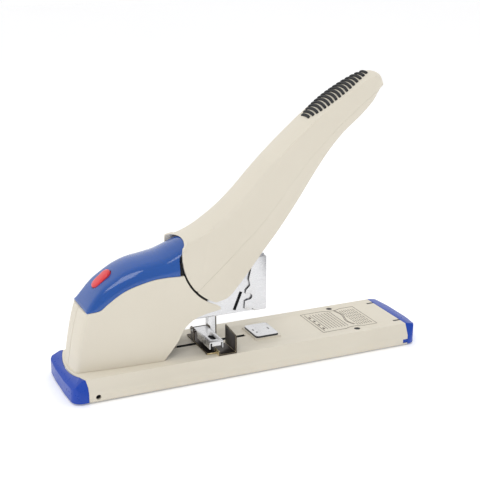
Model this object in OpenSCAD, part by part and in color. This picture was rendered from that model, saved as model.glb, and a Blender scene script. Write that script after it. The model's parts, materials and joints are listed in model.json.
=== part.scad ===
// Heavy-duty desk stapler with a long lever handle, a swinging head and a slide-out magazine.
// Units are millimetres. +X runs from the rear to the open end, +Z is up, the base's middle is at x = 0.

/* [Base] */
// Overall length of the base with both end caps
base_len = 294; // [245:1:355]
// Width of the base
base_w = 70; // [58:1:86]
// Height of the base above the feet
base_h = 16.4; // [14:0.2:20]
// Height of the upright part of the base's sides
base_side_h = 7.6; // [5:0.2:9]
// How far the sloping strip comes in on each side
base_slope = 4.3; // [3:0.1:6]
// Wall of the base moulding and of its caps
base_wall = 2.2; // [1.8:0.1:3]
// Height of the rubber feet below the base
feet_h = 1.5; // [1:0.1:3]
// Length of the rear cap at the side
rear_cap_len = 12.8; // [10:0.2:18]
// Length of the front cap at the side
front_cap_len = 10.3; // [8:0.1:14]
// Thickness of the steel base plate
base_plate_t = 2; // [1.5:0.1:3]

/* [Body] */
// Distance of the handle's axle from the rear end of the base
hub_setback = 135; // [130:1:150]
// Height of the handle's axle above the base's top
hub_h = 79.6; // [78:0.1:84]
// Wall of the body shells, the cover and the handle shells
shell_wall = 2; // [1.6:0.1:2.2]
// Radius of the round recess of the body around the handle's hub
recess_r = 44; // [43.4:0.1:45]

/* [Staples and magazine] */
// Crown width of a staple
staple_crown = 13; // [10.8:0.1:15.6]
// Leg length of a staple
staple_leg = 20; // [17:0.5:23]
// Thickness of the staple wire
staple_wire = 0.7; // [0.5:0.05:1]
// Length of a strip of staples
strip_len = 50; // [40:1:54]
// Sheet thickness of the magazine channel
mag_wall = 1.2; // [1:0.1:1.5]
// How far the magazine slides out
mag_travel = 88; // [87:1:90]
// Gap between the base's top and the head at rest
throat_h = 24.6; // [22:0.2:28]

/* [Steel parts] */
// Thickness of the head's side plates
head_t = 1; // [0.8:0.1:1.4]
// Thickness of the handle's core plates
core_t = 2; // [1.6:0.1:2.4]
// Thickness of the frame's side plates
frame_t = 2; // [1.6:0.1:2.4]
// Radius of the handle's axle
axle_r = 4; // [3.2:0.1:4.8]
// Radius of the crank pin that drives the link
crank_r = 3; // [2.4:0.1:3.6]
// Radius of the pin on the driver
driver_pin_r = 2; // [1.6:0.1:2.4]

/* [Anvil and paper guide] */
// Length of the anvil along the base
anvil_len = 19.7; // [16:0.1:24]
// Width of the anvil
anvil_w = 25; // [20:0.5:30]
// Thickness of the anvil
anvil_t = 1.6; // [1.2:0.1:2.4]
// Width of the guide's slot in the base
slot_w = 4; // [3:0.1:5]
// Reach of the paper guide from the middle line
guide_reach = 30.6; // [26:0.2:34]

/* [Hidden] */

$fn = 48;
joint_gap = 0.15;             // between two mouldings that meet
run_gap = 0.05;               // radial, pin in a moving bore
side_gap = 0.4;               // between plates that slide past each other
mesh_over = 1;                // how far a cutter runs past a face

cream = "#E0D8C4";
deep_blue = "#2243B0";
clear_blue = "#2F63C8";
red = "#EB3C41";
steel = "#C9CDD1";
dark_steel = "#6F7072";
black = "#1B1C1E";

// levels and places that the base sets
base_top = feet_h + base_h;
rear_x = -base_len / 2;
front_x = base_len / 2;
hub_x = rear_x + hub_setback;
hub_z = base_top + hub_h;
half_w = base_w / 2;
plate_z = base_top - base_wall - base_plate_t;   // underside of the steel base plate
bottom_t = 1.6;

// half widths of the layers, from the staples outwards
mag_in = staple_crown / 2 + 0.3;
mag_out = mag_in + mag_wall;
head_in = mag_out + side_gap;
head_out = head_in + head_t;
nose_t = 1;
nose_in = head_out + side_gap;
nose_out = nose_in + nose_t;
core_in = nose_out + side_gap;
core_out = core_in + core_t;
frame_in = core_out + side_gap;
frame_out = frame_in + frame_t;

// places along the head, measured from the hub's axis
nose_x = hub_x + 31;                             // outer face of the nose
blade_t = 1;
blade_x = nose_x - nose_t - 0.5 - blade_t;
rail_front = blade_x - 0.5;
rail_len = 85.5;
mag_z = base_top + throat_h;                     // underside of the head and the magazine
floor_z = mag_z + mag_wall;
crown_z = floor_z + 0.1 + staple_leg + staple_wire;
driver_stroke = staple_leg + 1;
head_pivot = [hub_x - 96, mag_z + 8.4];
latch_pivot = [hub_x - 84, mag_z + 25.4];
catch_bar = [hub_x - 78, mag_z + 18.4];
catch_bar_r = 1.5;
driver_pin = [hub_x + 29, crown_z + 32];
crank_arm = 56;
crank_angle = 33;
crank_pin_at = [hub_x + crank_arm * cos(crank_angle), hub_z + crank_arm * sin(crank_angle)];
spacer_at = [[hub_x - 60, mag_z + 25.2], [hub_x - 24, mag_z + 25.2]];

// button in the cover, tilted as the cover is there
button_at = [hub_x - 99.3, hub_z - 15.2];
button_tilt = 40.4;
button_long = 18;
button_wide = 11;
stem_r = 2.4;
bridge_drop = 7.5;

// ---------- small helpers ----------

module both_sides() {
    children();
    mirror([0, 1, 0]) children();
}

// plate in the XZ plane that starts at y0 and is t thick
module plate_xz(y0, t) {
    translate([0, y0 + t, 0]) rotate([90, 0, 0]) linear_extrude(t) children();
}

// plate cut centred on y = 0
module block_xz(half) {
    plate_xz(-half, 2 * half) children();
}

module pin_y(at, r, y0, y1) {
    translate([at[0], y0, at[1]]) rotate([-90, 0, 0]) cylinder(r = r, h = y1 - y0);
}

module pin_z(at, r, z0, z1) {
    translate([at[0], at[1], z0]) cylinder(r = r, h = z1 - z0);
}

function mix(a, b, t) = a + (b - a) * t;
function clamp(v, lo, hi) = min(max(v, lo), hi);
function arc_pts(c, r, a0, a1, n) = [for (i = [0:n]) let (a = mix(a0, a1, i / n)) c + r * [cos(a), sin(a)]];

// smooth curve through a few points, t from 0 to 1
function spline_at(p, t) =
    let (n = len(p) - 1, s = clamp(t, 0, 1) * n, i = min(floor(s), n - 1), u = s - i,
        a = p[max(i - 1, 0)], b = p[i], c = p[i + 1], d = p[min(i + 2, n)])
    0.5 * (2 * b + (c - a) * u + (2 * a - 5 * b + 4 * c - d) * u * u + (3 * b - 3 * c + d - a) * u * u * u);
function spline_pts(p, n) = [for (i = [0:n]) spline_at(p, i / n)];

// value of a curve of [x, z] points at x, by straight steps
function height_at(p, x, i = 0) =
    i >= len(p) - 2 || x <= p[i + 1][0]
    ? mix(p[i][1], p[i + 1][1], clamp((x - p[i][0]) / (p[i + 1][0] - p[i][0]), 0, 1))
    : height_at(p, x, i + 1);

// wall between two grids of points; rows below open_rows leave out the columns of open_cols
module shell_loft(outer, inner, open_rows = 0, open_cols = [0, 0]) {
    r = len(outer);
    c = len(outer[0]);
    n = r * c;
    function at(i, j) = i * c + j;
    function kept(i, j) = i >= 0 && j >= 0 && i < r - 1 && j < c - 1
        && (i >= open_rows || j < open_cols[0] || j > open_cols[1]);
    function rim(i, j, a, b) = !kept(i, j) ? [[b, a, n + a, n + b]] : [];
    quads = [for (i = [0:r - 2]) for (j = [0:c - 2]) if (kept(i, j))
        let (p = at(i, j), q = at(i, j + 1), s = at(i + 1, j + 1), t = at(i + 1, j))
        for (face = concat([[p, q, s, t], [n + p, n + t, n + s, n + q]], rim(i - 1, j, p, q),
            rim(i, j + 1, q, s), rim(i + 1, j, s, t), rim(i, j - 1, t, p))) face];
    polyhedron(concat([for (row = outer) for (p = row) p], [for (row = inner) for (p = row) p]),
        [for (q = quads) for (tri = [[q[0], q[1], q[2]], [q[0], q[2], q[3]]]) tri]);
}

// round wire along a list of points
module wire(path, r, sides = 8) {
    n = len(path);
    function dir(i) = let (v = path[min(i + 1, n - 1)] - path[max(i - 1, 0)]) v / norm(v);
    function side(i) = let (v = cross(dir(i), abs(dir(i)[1]) > 0.9 ? [1, 0, 0] : [0, 1, 0])) v / norm(v);
    pts = [for (i = [0:n - 1]) for (k = [0:sides - 1])
        let (a = 360 * k / sides) path[i] + r * (cos(a) * side(i) + sin(a) * cross(dir(i), side(i)))];
    skin = [for (i = [0:n - 2]) for (k = [0:sides - 1])
        let (a = i * sides + k, b = i * sides + (k + 1) % sides)
        for (t = [[a, a + sides, b + sides], [a, b + sides, b]]) t];
    caps = [for (k = [1:sides - 2]) for (t = [[0, k, k + 1],
        [(n - 1) * sides, (n - 1) * sides + k + 1, (n - 1) * sides + k]]) t];
    polyhedron(pts, concat(skin, caps));
}

// ---------- base ----------

// cross-section of the base, drawn with y across and z up
module base_section(inset, floor) {
    s = inset;
    polygon([[-half_w + s, floor], [half_w - s, floor], [half_w - s, feet_h + base_side_h - s / 3],
        [half_w - base_slope - s * 0.8, base_top - s], [-half_w + base_slope + s * 0.8, base_top - s],
        [-half_w + s, feet_h + base_side_h - s / 3]]);
}

module base_bar(x0, x1, inset = 0, floor = feet_h) {
    translate([x0, 0, 0]) rotate([90, 0, 90]) linear_extrude(x1 - x0) base_section(inset, floor);
}

rear_joint = rear_x + rear_cap_len;
front_joint = front_x - front_cap_len;
cap_bulge = 7.4;                                  // how far the base's rear edge bows back
bulge_half = half_w - 2;
bulge_r = (bulge_half * bulge_half + cap_bulge * cap_bulge) / (2 * cap_bulge);
bulge_angle = asin(bulge_half / bulge_r);

// plan of the base moulding between the caps, its rear edge bowed
module base_plan(grow = 0) {
    x0 = rear_joint - grow;
    x1 = front_joint + grow;
    polygon(concat([[x0, -half_w - 1], [x1, -half_w - 1], [x1, half_w + 1], [x0, half_w + 1]],
        arc_pts([rear_joint - cap_bulge + bulge_r, 0], bulge_r + grow, 180 - bulge_angle, 180 + bulge_angle, 20)));
}

tab_w = 2;
tab_len = 6;
tab_y = 21.5;
slot_x0 = hub_x - 52;
slot_x1 = hub_x + 17.5;
anvil_x = hub_x + 22.1;
pad_h = 1.1;
desk_hole_x = front_x - 52;
desk_hole_y = 24;
desk_hole_r = 2.6;
frame_bolt_x = [hub_x - 98, hub_x - 68];
frame_bolt_y = (frame_in + 7.4) / 2;
frame_bolt_r = 2;

module at_frame_bolts() {
    for (x = frame_bolt_x) for (s = [-1, 1]) translate([x, s * frame_bolt_y, 0]) children();
}

module at_rivets() {
    for (s = [-1, 1]) translate([anvil_x + anvil_len / 2, s * (anvil_w / 2 - 3.5), 0]) children();
}

module base_shell() {
    color(cream) difference() {
        union() {
            intersection() {
                base_bar(rear_x, front_x);
                linear_extrude(base_top + 1) base_plan();
            }
            translate([anvil_x - 1.2, -anvil_w / 2 - 1.2, base_top - 0.5])
                cube([anvil_len + 2.4, anvil_w + 2.4, pad_h + 0.5]);
        }
        base_bar(rear_x, front_x, base_wall, feet_h - mesh_over);
        translate([slot_x0, -slot_w / 2, base_top - base_wall - mesh_over])
            cube([slot_x1 - slot_x0, slot_w, base_wall + 2 * mesh_over]);
        for (s = [-1, 1]) {
            pin_z([desk_hole_x, s * desk_hole_y], desk_hole_r, base_top - 5, base_top + 1);
            translate([front_joint - tab_len - 0.2, s * tab_y - tab_w / 2 - 0.2, base_top - base_wall - 1])
                cube([tab_len + 1, tab_w + 0.4, base_wall + 2]);
        }
        both_sides() translate([front_joint - 4.2, -half_w - 1, feet_h + 0.8]) cube([5, base_wall + 2, 3.4]);
        pin_y([rear_joint + 7, feet_h + 3.2], 2, -half_w - 1, -half_w + base_wall + 1);
        at_frame_bolts() pin_z([0, 0], frame_bolt_r, base_top - 5, base_top + 1);
        at_rivets() pin_z([0, 0], 1.5, base_top - 5, base_top + 3);
    }
}

module base_plate() {
    w = half_w - 8;
    color(dark_steel) difference() {
        translate([rear_joint + 4, -w, plate_z]) cube([front_joint - rear_joint - 14, 2 * w, base_plate_t]);
        translate([slot_x0, -5, plate_z - 1]) cube([slot_x1 - slot_x0, 10, base_plate_t + 2]);
        for (s = [-1, 1]) pin_z([desk_hole_x, s * desk_hole_y], desk_hole_r, plate_z - 1, base_top);
        at_frame_bolts() pin_z([0, 0], frame_bolt_r, plate_z - 1, base_top);
        at_rivets() pin_z([0, 0], 1.5, plate_z - 1, base_top);
    }
}

module bottom_cover() {
    w = half_w - base_wall - joint_gap;
    color(black) difference() {
        translate([rear_joint + 2, -w, feet_h]) cube([front_joint - rear_joint - 5, 2 * w, bottom_t]);
        for (s = [-1, 1]) pin_z([desk_hole_x, s * desk_hole_y], 5, 0, feet_h + 3);
    }
}

foot_r = 7;
foot_inset = 15;
module rubber_feet() {
    color(black) for (x = [rear_joint + 20, front_joint - 22]) for (s = [-1, 1])
        pin_z([x, s * (half_w - foot_inset)], foot_r, 0, feet_h);
}

// solid outline of a cap: rounded plan, sloping top
module cap_form(x0, x1, corner, bow, low_h, inset, rear) {
    e = rear ? -1 : 1;
    xo = rear ? x0 : x1;
    intersection() {
        base_bar(x0 - 8, x1 + 8, inset, feet_h - (inset > 0 ? mesh_over : 0));
        linear_extrude(base_top + 1) hull() {
            for (s = [-1, 1]) translate([xo - e * (corner + bow), s * (half_w - corner)])
                circle(r = corner - inset, $fn = 32);
            for (s = [-1, 1]) translate([xo - e * corner, s * (half_w - corner) * 0.5])
                circle(r = corner - inset, $fn = 32);
            translate([rear ? x1 : x0 - 8, -half_w + inset]) square([8, 2 * (half_w - inset)]);
        }
        block_xz(half_w) polygon([[xo, 0], [xo, low_h - inset], [xo - e * 9, base_top - inset],
            [xo - e * 40, base_top - inset], [xo - e * 40, 0]]);
    }
}

module rear_cap() {
    color(deep_blue) difference() {
        cap_form(rear_x, rear_joint, 8, 0.8, feet_h + 10.4, 0, true);
        cap_form(rear_x, rear_joint + 1, 8, 0.8, feet_h + 10.4, base_wall, true);
        translate([0, 0, -1]) linear_extrude(base_top + 3) base_plan(joint_gap);
    }
}

module front_cap() {
    color(deep_blue) {
        difference() {
            cap_form(front_joint, front_x, 7, 2, feet_h + 14.8, 0, false);
            cap_form(front_joint - 1, front_x, 7, 2, feet_h + 14.8, base_wall, false);
            translate([front_joint + joint_gap - 20, -half_w - 1, -1]) cube([20, base_w + 2, base_top + 3]);
        }
        for (s = [-1, 1]) translate([front_joint - tab_len, s * tab_y - tab_w / 2, base_top - base_wall + 0.1])
            cube([tab_len + 2.2, tab_w, base_wall - 0.7]);
        both_sides() translate([front_joint - 4, -half_w + 0.5, feet_h + 1]) cube([6.2, base_wall - 0.6, 3]);
    }
}

// ---------- anvil ----------

module anvil() {
    z = base_top + pad_h;
    groove = staple_crown / 2 - 0.8;
    color(steel) difference() {
        translate([anvil_x, -anvil_w / 2, z]) cube([anvil_len, anvil_w, anvil_t]);
        for (s = [-1, 1]) translate([blade_x + blade_t / 2, s * groove / 1.8, z + anvil_t + 0.9])
            scale([1.1, 3.2, 1.1]) sphere(r = 1.4);
    }
}

module anvil_rivets() {
    color(steel) at_rivets() {
        pin_z([0, 0], 1.5, plate_z, base_top + pad_h);
        pin_z([0, 0], 2.6, plate_z - 1, plate_z);
    }
}

// ---------- body shells ----------

body_rear = [[-128.2, 0], [-124.2, 22.5], [-121, 36.6], [-118, 46]];
arch_edge = [[-58.8, 0], [-48, 13.1], [-42, 23.4], [-34, 29.8], [-23, 33], [-12.5, 34]];
tip_h = 34;                                      // the arch ends there in a blunt tip under the recess
cover_low = [[-117, 45.6], [-111, 46], [-106, 47], [-100, 51.5], [-90, 58.2], [-80, 62.2], [-66, 65.4],
    [-55, 66], [-43, 65.5]];
cover_top = [[-117, 46], [-112.3, 52.5], [-104.1, 61.7], [-96, 67.7], [-86.4, 73.5], [-76, 77.4], [-64, 79.6],
    [-54.2, 81.6], [-43.6, 85.5], [-35, 88.9]];
rear_round = 5;
body_scale = hub_h / 79.6;                       // the outlines' heights follow the axle's height

// half width of the body at a distance d from the hub
function body_half(d) =
    let (t = clamp((d + 128) / 90, 0, 1), w = 16.6 + 5.2 * (1 - (1 - t) * (1 - t))) w;
// the rear end is rounded in plan
function body_y(d, rear, wall = 0) =
    let (k = clamp(1 - (d - rear) / rear_round, 0, 1)) (body_half(d) - wall) * pow(1 - pow(k, 3), 1 / 3);
function edge_x(pts, h, i = 0) =
    i >= len(pts) - 2 || h <= pts[i + 1][1]
    ? mix(pts[i][0], pts[i + 1][0], clamp((h - pts[i][1]) / (pts[i + 1][1] - pts[i][1]), 0, 1))
    : edge_x(pts, h, i + 1);

// front edge of the body's side at height h: the arch below, the round recess above
function body_front(h) =
    h <= tip_h ? edge_x(spline_pts(arch_edge, 20), h)
    : -max(12.5, sqrt(max(pow(recess_r, 2) - pow(min(h - 79.6, 0), 2), 0)));

// one point of the side: u runs from the rear to the front edge, v from the base to the cover
function cap_at(along, front_d) = height_at(cover_low, mix(body_rear[3][0], front_d, along));
function body_pt(u, v, wall) =
    let (along = pow(u, 1.7),
        cap = cap_at(along, body_front(cap_at(along, -43))),
        h = cap * v,
        rear = edge_x(body_rear, h),
        d = mix(rear, body_front(h), along),
        back = wall * clamp(1 - (d - rear) / 8, 0, 1))
    [hub_x + d + back, -max(body_y(d + back, rear + back, wall), 0.15), base_top + h * body_scale];

body_cols = 30;
body_rows = 20;
module body_side() {
    shell_loft(
        [for (i = [0:body_cols]) [for (j = [0:body_rows]) body_pt(i / body_cols, j / body_rows, 0)]],
        [for (i = [0:body_cols]) [for (j = [0:body_rows]) body_pt(i / body_cols, j / body_rows, shell_wall)]]);
}

body_screw_at = [[-96, 12], [-72, 26]];

module body_shell_right() {
    color(cream) body_side();
}

module body_shell_left() {
    color(cream) difference() {
        mirror([0, 1, 0]) body_side();
        for (p = body_screw_at) {
            pin_y([hub_x + p[0], base_top + p[1]], 1.6, frame_out, half_w);
            pin_y([hub_x + p[0], base_top + p[1]], 3.2, body_half(p[0]) - 1, half_w);
        }
    }
}

module body_screws() {
    color(steel) for (p = body_screw_at) {
        pin_y([hub_x + p[0], base_top + p[1]], 1.5, frame_in, body_half(p[0]) - 0.5);
        pin_y([hub_x + p[0], base_top + p[1]], 3, body_half(p[0]) - 1, body_half(p[0]) + 0.6);
    }
}

// rise of the cover's middle line over its creases
function cover_crown(s) = mix(0.2, 3, pow(s, 0.7));
// one point across the cover: q from 0 at the lower edge to 1 at the crease
function cover_pt(s, q, wall) =
    let (front = mix(-44.8, -35.6, pow(q, 6)),
        d = mix(-116.6, front, s),
        low = height_at(cover_low, d) + 0.25,
        top = max(height_at(cover_top, d) - cover_crown(s), low + 0.3),
        crease = 14 + 1.1 * pow(s, 3),
        a = q * 68,
        f = sin(a) / sin(68),
        g = (cos(a) - cos(68)) / (1 - cos(68)),
        y = mix(crease, body_half(d) - 0.3, g) - wall * mix(0.7, 1, g),
        h = mix(low, top - wall, f))
    [hub_x + d + wall * 0.2 * (1 - s), y, base_top + h * body_scale];
function cover_row(s, wall) =
    let (n = 6, side = [for (j = [0:n]) cover_pt(s, j / n, wall)], edge = side[n])
    concat(
        [for (j = [0:n]) [side[j][0], -side[j][1], side[j][2]]],
        [for (k = [-0.75:0.25:0.75]) [edge[0], edge[1] * k, edge[2] + cover_crown(s) * (1 - k * k)]],
        [for (j = [n:-1:0]) side[j]]);

module button_prism(grow, from, to) {
    translate([button_at[0], 0, button_at[1]]) rotate([0, -button_tilt, 0])
        translate([0, 0, from]) linear_extrude(to - from)
            union() {
                square([button_long - button_wide, button_wide + 2 * grow], center = true);
                for (s = [-1, 1]) translate([s * (button_long - button_wide) / 2, 0])
                    circle(r = button_wide / 2 + grow);
            }
}

cover_cols = 24;
module top_cover() {
    color(clear_blue, 0.75) difference() {
        shell_loft([for (i = [0:cover_cols]) cover_row(i / cover_cols, 0)],
            [for (i = [0:cover_cols]) cover_row(i / cover_cols, shell_wall)]);
        button_prism(0.3, -9, 9);
    }
}

// ---------- frame ----------

frame_rear = hub_x - 104;
hub_boss_r = 13;
module frame_outline() {
    polygon(concat(
        [[frame_rear, base_top], [hub_x - 62, base_top], [hub_x - 50, base_top + 14], [hub_x - 38, base_top + 28],
            [hub_x - 21, base_top + 40], [hub_x - 3, base_top + 57]],
        arc_pts([hub_x, hub_z], hub_boss_r, -50, 130, 12),
        [[hub_x - 60, hub_z - 22], [frame_rear, head_pivot[1] + 12]]));
}

module frame_plate(side_screws) {
    color(steel) difference() {
        union() {
            plate_xz(frame_in, frame_t) frame_outline();
            translate([frame_rear, 7.4 - 1, base_top]) cube([hub_x - 62 - frame_rear, frame_out - 6.4, frame_t]);
        }
        pin_y([hub_x, hub_z], axle_r, frame_in - 1, frame_out + 1);
        pin_y(head_pivot, 2.5, frame_in - 1, frame_out + 1);
        for (p = tie_at) pin_y(p, 2, frame_in - 1, frame_out + 1);
        for (x = frame_bolt_x) pin_z([x, frame_bolt_y], frame_bolt_r, base_top - 1, base_top + 4);
        if (side_screws) for (p = body_screw_at)
            pin_y([hub_x + p[0], base_top + p[1]], 1.5, frame_in - 1, frame_out + 1);
    }
}

tie_at = [[hub_x - 46, base_top + 62]];
module frame_plate_left() { frame_plate(true); }
module frame_plate_right() { mirror([0, 1, 0]) frame_plate(false); }

module frame_bolts() {
    z = base_top + frame_t;
    color(steel) at_frame_bolts() {
        pin_z([0, 0], frame_bolt_r, plate_z - 3.4, z);
        pin_z([0, 0], 3, z, z + 2.2);
    }
}

module frame_nuts() {
    color(dark_steel) at_frame_bolts() difference() {
        translate([0, 0, plate_z - 3]) cylinder(r = 4, h = 3, $fn = 6);
        pin_z([0, 0], frame_bolt_r, plate_z - 4, plate_z + 1);
    }
}

// tube that keeps the frame plates apart, with its rivet ends in them
module frame_tie() {
    color(steel) for (p = tie_at) {
        pin_y(p, 3.4, -frame_in, frame_in);
        pin_y(p, 2, -frame_out - 0.6, frame_out + 0.6);
    }
}

// sheet across the frame that guides the button's stem
module button_bridge() {
    color(steel) difference() {
        translate([button_at[0], 0, button_at[1]]) rotate([0, -button_tilt, 0])
            translate([-5, -frame_in, -bridge_drop - 1.2]) cube([10, 2 * frame_in, 1.2]);
        translate([button_at[0], 0, button_at[1]]) rotate([0, -button_tilt, 0])
            translate([0, 0, -bridge_drop - 4]) cylinder(r = stem_r + 0.1, h = 8);
    }
}

module hub_axle() {
    color(steel) pin_y([hub_x, hub_z], axle_r, -frame_out - 1.4, frame_out + 1.4);
}

module axle_circlips() {
    color(dark_steel) both_sides() difference() {
        pin_y([hub_x, hub_z], axle_r + 2, frame_out + 0.2, frame_out + 1);
        pin_y([hub_x, hub_z], axle_r, frame_out - 1, frame_out + 2);
    }
}

// torsion spring on the axle, one leg under the handle and one on the frame's tie
spring_turns = 5;
module return_spring() {
    r = axle_r + 2.6;
    pitch = 2 * (core_in - 3.2) / (spring_turns + 0.25);
    color(dark_steel) wire(concat(
        [[hub_x + 30, -core_in + 3.2, hub_z + r + 12], [hub_x + 12, -core_in + 3.2, hub_z + r + 3]],
        [for (i = [0:spring_turns * 16 + 4]) let (a = 60 + 360 * i / 16)
            [hub_x + r * cos(a), -core_in + 3.2 + pitch * i / 16, hub_z + r * sin(a)]],
        [[hub_x - 20, core_in - 3.2, hub_z - 4], [hub_x - 38, core_in - 3.2, hub_z - 8]]), 1.1);
}

module head_pivot_pin() {
    color(steel) pin_y(head_pivot, 2.5, -frame_out, frame_out);
}

// ---------- handle ----------

// outlines relative to the hub's axis
hub_r = 42.3;
top_edge = [[-34.6, 10.6], [-25, 15.2], [-14.4, 21.6], [-1.8, 30.6], [10.9, 42], [27.9, 59.1], [45, 74.8],
    [62.2, 89.1], [75.1, 99.3], [88.1, 108.5], [101.3, 116.3], [114.7, 123.2], [124, 125.9],
    [131.5, 123.3], [135.7, 116]];
low_edge = [[-16, -39.2], [-5.8, -36.5], [3.5, -27.5], [12.6, -17.3], [25, -3.6], [36, 8], [46, 20],
    [57, 34.4], [71, 54], [83, 69], [95, 81.2], [109, 92], [121.5, 102.8], [129.5, 110.8]];
seam_start = 223;
seam_edge = [[hub_r * cos(seam_start), hub_r * sin(seam_start)], [-8.2, -9.5], [16.7, 12.7], [34, 29],
    [50, 47.5], [67, 65.5], [85, 82], [103, 96.5], [119, 107.5], [131, 113.5]];
arc_end = 248;
t_seam = 0.12;                // where the seam starts along the handle
t_low = 0.2;                  // where the lower edge starts

function arc_pt(a) = hub_r * [cos(a), sin(a)];
function handle_top(t) = spline_at(top_edge, t);
function handle_seam(t) =
    t <= t_seam ? arc_pt(mix(171, seam_start, t / t_seam)) : spline_at(seam_edge, (t - t_seam) / (1 - t_seam));
function handle_low(t) =
    t <= t_low ? arc_pt(mix(seam_start + 1, arc_end, clamp((t - t_seam) / (t_low - t_seam), 0, 1)))
    : spline_at(low_edge, (t - t_low) / (1 - t_low));

// half widths along the handle, at its top crease, its seam and its lower edge
crease_half = [[0, 16.4], [0.2, 14.6], [0.45, 14.2], [0.7, 13.6], [0.9, 10.6], [1, 5.5]];
seam_half = [[0, 20.5], [0.3, 20.5], [0.45, 17.6], [0.6, 15.8], [0.8, 14.2], [0.93, 11.6], [1, 7]];
low_half = [[0, 20.5], [0.35, 20.5], [0.5, 16.8], [0.65, 14.6], [0.85, 12], [0.94, 10.2], [1, 5.5]];
handle_stations = 44;
open_until = 0.6;             // the underside is open from the hub to here

function hz(p, y) = [hub_x + p[0], y, hub_z + p[1]];
// rise of the top's middle line over its creases
function crown_at(t) = min(3.4, 0.35 * norm(handle_seam(t) - handle_top(t)));
function inward(t) = let (v = handle_seam(t) - handle_top(t)) v / max(norm(v), 0.1);

// across the upper shell, from one seam over the top to the other
function upper_row(t, wall) =
    let (a = handle_top(t), b = handle_seam(t), n = inward(t), rise = crown_at(t),
        yc = height_at(crease_half, t) - wall, ys = height_at(seam_half, t) - wall,
        side = [for (k = [0:5]) let (f = k / 5, p = mix(b, a + n * (wall + rise), f))
            [p[0], mix(ys, yc, 1 - cos(f * 90)), p[1]]],
        e = side[5])
    concat(
        [for (p = side) [hub_x + p[0], -p[1], hub_z + p[2]]],
        [for (k = [-0.75:0.25:0.75]) hz([e[0], e[2]] - n * rise * (1 - k * k), e[1] * k)],
        [for (k = [5:-1:0]) let (p = side[k]) [hub_x + p[0], p[1], hub_z + p[2]]]);

// the lower shell's side, from the seam down, and its underside past the open stretch
function lower_row(t, wall, s) =
    let (a = handle_seam(t), b = handle_low(t), v = b - a, n = v / max(norm(v), 0.1),
        ya = height_at(seam_half, t) - wall, yb = height_at(low_half, t) - wall,
        gap = n * 0.12)
    [for (k = [0:3]) let (p = mix(a + gap, b, k / 3)) hz(p, s * mix(ya, yb, k / 3))];
function under_row(t, wall) =
    let (b = handle_low(t), v = b - handle_seam(t), n = v / max(norm(v), 0.1), yb = height_at(low_half, t) - wall)
    let (c = b + n * (0.6 - wall * 0.9))
    concat(lower_row(t, wall, 1), [hz(c, yb * 0.6), hz(c, -yb * 0.6)],
        [for (k = [3:-1:0]) lower_row(t, wall, -1)[k]]);

module handle_upper_shell() {
    color(cream) shell_loft(
        [for (i = [0:handle_stations]) upper_row(i / handle_stations, 0)],
        [for (i = [0:handle_stations]) upper_row(i / handle_stations, shell_wall)]);
}

module handle_lower_shell() {
    n = 40;
    t0 = t_seam + 0.015;
    open_rows = ceil(n * (open_until - t0) / (1 - t0));
    function row(i, wall) = under_row(mix(t0, 1, i / n), wall);
    color(cream) shell_loft([for (i = [0:n]) row(i, 0)], [for (i = [0:n]) row(i, shell_wall)], open_rows, [3, 5]);
}

// rubber pad with ribs, let into the top of the handle
rib_count = 17;
rib_t0 = 0.535;
rib_t1 = 0.815;
rib_len = 2.2;
rib_h = 1.1;
module handle_grip() {
    color(black) for (i = [0:rib_count - 1]) {
        t = mix(rib_t0, rib_t1, i / (rib_count - 1));
        p = handle_top(t);
        q = handle_top(t + 0.01);
        half = 13.7 * pow(sin(180 * (i + 1.2) / (rib_count + 1.4)), 0.5) * (1 - 0.2 * i / rib_count);
        u = (q - p) / norm(q - p);
        drop = crown_at(t) * (inward(t) * [u[1], -u[0]]) / pow(height_at(crease_half, t), 2);
        arc = [for (k = [-4:4]) [half * k / 4, 0.3 - drop * pow(half * k / 4, 2)]];
        translate(hz(p, 0)) rotate([0, -atan2(q[1] - p[1], q[0] - p[0]), 0]) translate([-rib_len / 2, 0, 0])
            rotate([90, 0, 90]) linear_extrude(rib_len)
                polygon(concat(arc, [for (k = [8:-1:0]) arc[k] + [0, rib_h]]));
    }
}

module core_outline() {
    difference() {
        union() {
            polygon(concat(arc_pts([hub_x, hub_z], 11, 110, 290, 12),
                [[hub_x + 36, hub_z + 13], [hub_x + 60, hub_z + 49], [hub_x + 55, hub_z + 60], [hub_x + 46, hub_z + 60]]));
            translate(crank_pin_at) circle(r = crank_r + 4);
        }
        translate([hub_x, hub_z]) circle(r = axle_r + run_gap);
        translate(crank_pin_at) circle(r = crank_r);
        for (p = core_bolt_at) translate(p) circle(r = 2);
    }
}

core_bolt_at = [[hub_x + 34, hub_z + 36], [hub_x + 51, hub_z + 52]];
module handle_core_left() {
    color(steel) plate_xz(core_in, core_t) core_outline();
}

module handle_core_right() {
    color(steel) plate_xz(-core_out, core_t) core_outline();
}

module handle_tie_bolts() {
    color(dark_steel) for (p = core_bolt_at) {
        pin_y(p, 2, -core_out, core_out);
        both_sides() pin_y(p, 3.2, core_out, core_out + 0.8);
    }
}

module crank_pin() {
    color(steel) pin_y(crank_pin_at, crank_r, -core_out, core_out);
}

// ---------- drive link and driver ----------

link_half = 2.4;
eye_wall = 2.4;
slot_back = 3.9;              // the lower eye is long, for the crank's swing
slot_up = 0.8;
module drive_link() {
    w = driver_pin_r + 0.8;
    p = driver_pin;
    color(steel) block_xz(link_half) difference() {
        union() {
            translate(crank_pin_at) circle(r = crank_r + eye_wall);
            polygon([p + [-w, w + slot_up + eye_wall - 0.4], p + [w + eye_wall - 0.6, 0],
                crank_pin_at + [4.4, -2.2], crank_pin_at + [-4.4, 2.2]]);
            translate(p + [-w - slot_back - eye_wall, -w - eye_wall])
                square([2 * w + slot_back + 2 * eye_wall, 2 * w + slot_up + 2 * eye_wall]);
        }
        translate(crank_pin_at) circle(r = crank_r + run_gap);
        translate(p + [-w - slot_back, -w]) square([2 * w + slot_back, 2 * w + slot_up]);
    }
}

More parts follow.
